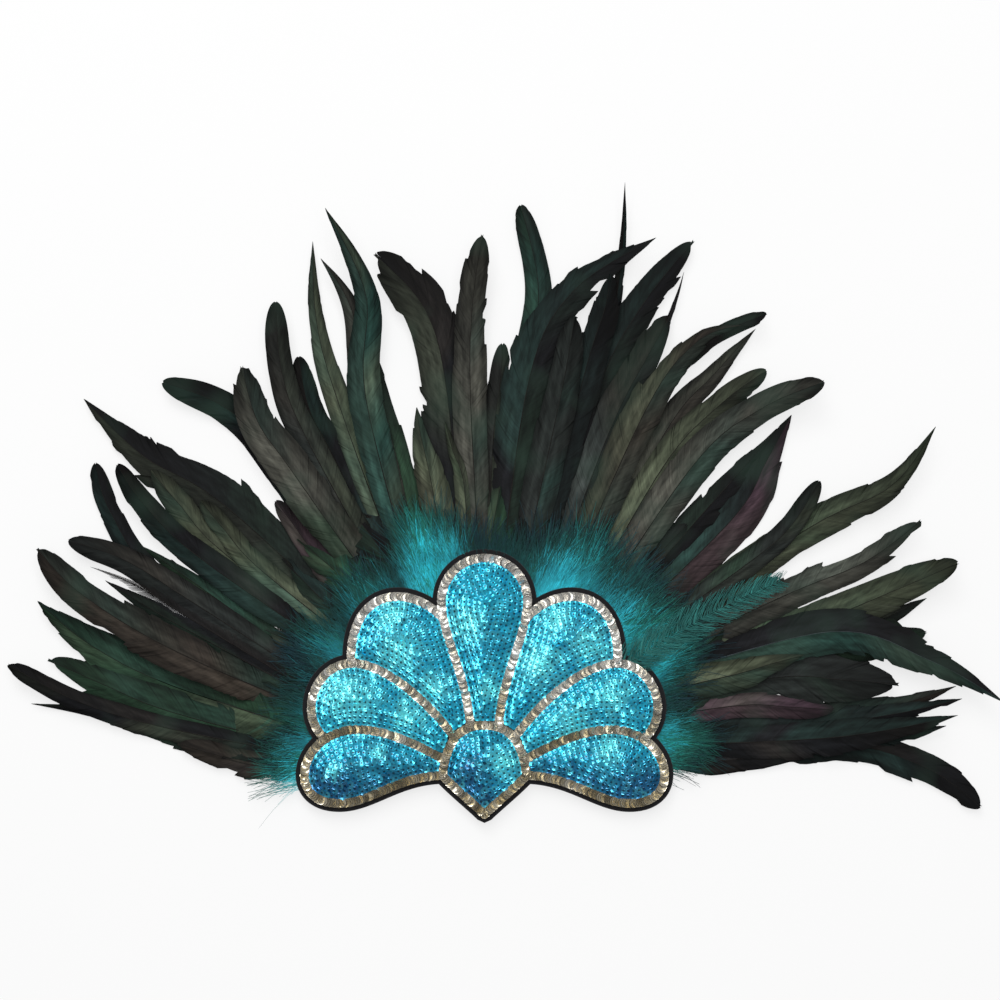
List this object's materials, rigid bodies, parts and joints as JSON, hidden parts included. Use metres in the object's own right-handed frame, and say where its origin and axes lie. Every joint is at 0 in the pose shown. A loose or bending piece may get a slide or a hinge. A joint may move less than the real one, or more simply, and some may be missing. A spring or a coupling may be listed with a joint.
{
  "type": "carnival feather headdress",
  "caption": "Fan-shaped carnival headdress: dark tail feathers and turquoise down set behind a scalloped felt patch of sequin petals with a silver sequin trim.",
  "frame": {"origin": "on the flat back face, at the hub that the petals' lines run to, midway across the patch", "axes": "+X across the fan, to the right as seen from the front, +Y up the fan to its feather tips, +Z out of the front face"},
  "size_m": [0.497, 0.3203, 0.0318],
  "materials": {
    "feathers": "satin dark feather vane with a green and purple sheen",
    "down": "soft dyed turquoise down",
    "felt": "matt black pressed felt",
    "trim_sequins": "metallised silver and pale gold sequins",
    "petal_sequins": "metallised turquoise cup sequins"
  },
  "bodies": {
    "root": {"feather_row_rear": "feathers", "feather_row_middle": "feathers", "feather_row_front": "feathers", "down_row": "down", "base_felt": "felt", "sequin_trim": "trim_sequins", "petal_top": "petal_sequins", "petal_upper_left": "petal_sequins", "petal_upper_right": "petal_sequins", "petal_mid_left": "petal_sequins", "petal_mid_right": "petal_sequins", "petal_lower_left": "petal_sequins", "petal_lower_right": "petal_sequins", "medallion": "petal_sequins"}
  },
  "joints": []
}
